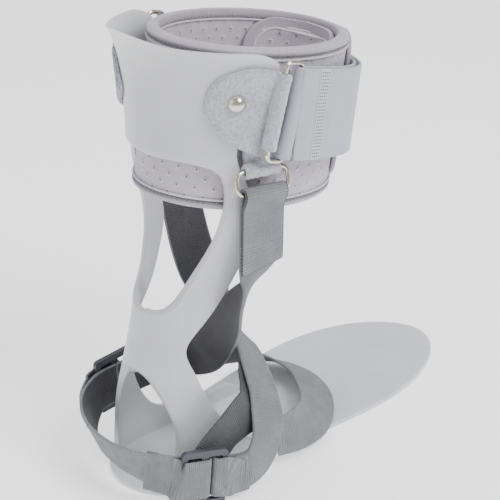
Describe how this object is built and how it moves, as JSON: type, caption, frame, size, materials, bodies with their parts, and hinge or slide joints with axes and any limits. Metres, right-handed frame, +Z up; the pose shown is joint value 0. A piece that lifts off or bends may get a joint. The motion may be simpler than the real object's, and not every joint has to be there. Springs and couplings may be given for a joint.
{
  "type": "ankle foot orthosis",
  "caption": "Right ankle foot brace: one-piece plastic moulding with open heel and calf cup, padded wrap liner, ring-and-strap calf closure and crossing elastic ankle webbing.",
  "frame": {"origin": "underside of the footplate, below the middle of the ankle", "axes": "+X toward the toes, +Y toward the medial (inner) side, +Z up the leg"},
  "size_m": [0.2864, 0.1242, 0.2812],
  "materials": {
    "moulding": "translucent natural polypropylene, satin",
    "liner_foam": "perforated foam faced with smooth lilac-grey knit",
    "liner_binding": "smooth stitched binding tape",
    "ring_wire": "nickel-plated wire",
    "rivet_metal": "nickel-plated domed rivet",
    "calf_webbing": "smooth blue-grey coated webbing",
    "hook_tape": "grey hook tape",
    "felt_tab": "fuzzy dark grey loop fabric",
    "elastic_webbing": "ribbed mid-grey elastic, stitched ends",
    "slider_plastic": "dark blue-grey moulded plastic"
  },
  "bodies": {
    "brace": {"orthosis_shell": "moulding", "calf_liner": "liner_foam", "liner_inner_flap": "liner_foam", "liner_outer_flap": "liner_foam", "liner_binding_top": "liner_binding", "liner_binding_bottom": "liner_binding", "lateral_rivet": "rivet_metal", "medial_rivet": "rivet_metal", "calf_strap": "calf_webbing", "lateral_calf_tab": "felt_tab", "medial_calf_tab": "felt_tab", "lateral_ankle_tab": "felt_tab", "medial_ankle_tab": "felt_tab", "cross_strap": "elastic_webbing", "heel_strap": "elastic_webbing", "instep_strap": "elastic_webbing", "forefoot_strap": "elastic_webbing"},
    "tongue": {"strap_tongue": "calf_webbing", "hook_patch": "hook_tape"},
    "lateral_calf_loop": {"lateral_calf_ring": "ring_wire"},
    "medial_calf_loop": {"medial_calf_ring": "ring_wire"},
    "lateral_ankle_loop": {"lateral_ankle_ring": "ring_wire"},
    "medial_ankle_loop": {"medial_ankle_ring": "ring_wire"},
    "lateral_adjuster": {"lateral_slider": "slider_plastic"},
    "medial_adjuster": {"medial_slider": "slider_plastic"}
  },
  "joints": [
    {"name": "tongue_peel", "type": "hinge", "parent": "brace", "child": "tongue", "pos_m": [0.0194, -0.0631, 0.2335], "axis": [-0.2672, 0, -0.9636], "range_deg": [0, 75]},
    {"name": "lateral_calf_swing", "type": "hinge", "parent": "brace", "child": "lateral_calf_loop", "pos_m": [0.00752, -0.0576, 0.2368], "axis": [0.2672, 0, 0.9636], "range_deg": [-2.5, 2.5]},
    {"name": "medial_calf_swing", "type": "hinge", "parent": "brace", "child": "medial_calf_loop", "pos_m": [0.00752, 0.0576, 0.2368], "axis": [0.2672, 0, 0.9636], "range_deg": [-2.5, 2.5]},
    {"name": "lateral_ankle_swing", "type": "hinge", "parent": "brace", "child": "lateral_ankle_loop", "pos_m": [0.00297, -0.05111, 0.20319], "axis": [0.9703, -0.2421, 0], "range_deg": [-2.5, 2.5]},
    {"name": "medial_ankle_swing", "type": "hinge", "parent": "brace", "child": "medial_ankle_loop", "pos_m": [0.0264, 0.05355, 0.19716], "axis": [-0.995, 0, -0.1], "range_deg": [-2.5, 2.5]},
    {"name": "lateral_slide", "type": "slide", "parent": "brace", "child": "lateral_adjuster", "axis": [0.9275, -0.369, -0.0598], "range_m": [-0.003, 0.003]},
    {"name": "medial_slide", "type": "slide", "parent": "brace", "child": "medial_adjuster", "axis": [0.9966, 0.0201, 0.0805], "range_m": [-0.003, 0.003]}
  ]
}
